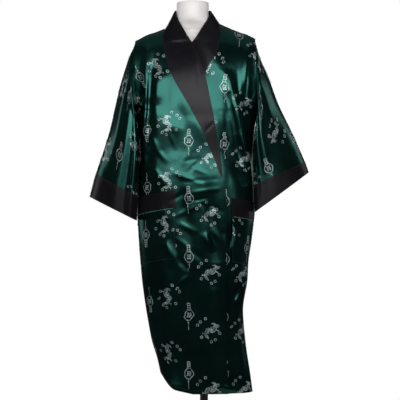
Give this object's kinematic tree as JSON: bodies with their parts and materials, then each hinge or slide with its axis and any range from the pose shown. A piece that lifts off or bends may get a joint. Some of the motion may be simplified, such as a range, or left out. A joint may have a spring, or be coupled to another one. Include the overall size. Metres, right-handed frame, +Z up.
{
  "type": "kimono on a limbless dress form with stand",
  "caption": "Long wide-sleeved satin kimono with a crossed dark collar, dark sleeve ends and hip patch pockets, worn open-hemmed on a plain limbless dress form on a round stand.",
  "frame": {"origin": "on the floor, below the middle of the whole part's box, a few millimetres from the stand's pole", "axes": "+Z up, -Y the front of the kimono, +X the wearer's left"},
  "size_m": [0.768, 0.37, 1.506],
  "materials": {
    "green_satin": "glossy green figured satin with small grey-white woven motifs",
    "black_satin": "plain black satin",
    "form_coat": "smooth off-white painted shell",
    "stand_metal": "dark paint"
  },
  "bodies": {
    "root": {"right_front": "green_satin", "left_front": "green_satin", "back": "green_satin", "right_sleeve": "green_satin", "left_sleeve": "green_satin", "right_sleeve_band": "black_satin", "left_sleeve_band": "black_satin", "right_lapel": "black_satin", "left_lapel": "black_satin", "nape_collar": "black_satin", "right_pocket": "green_satin", "left_pocket": "green_satin", "right_pocket_band": "black_satin", "left_pocket_band": "black_satin", "dress_form": "form_coat", "pole": "stand_metal", "stand_base": "stand_metal"}
  },
  "joints": []
}
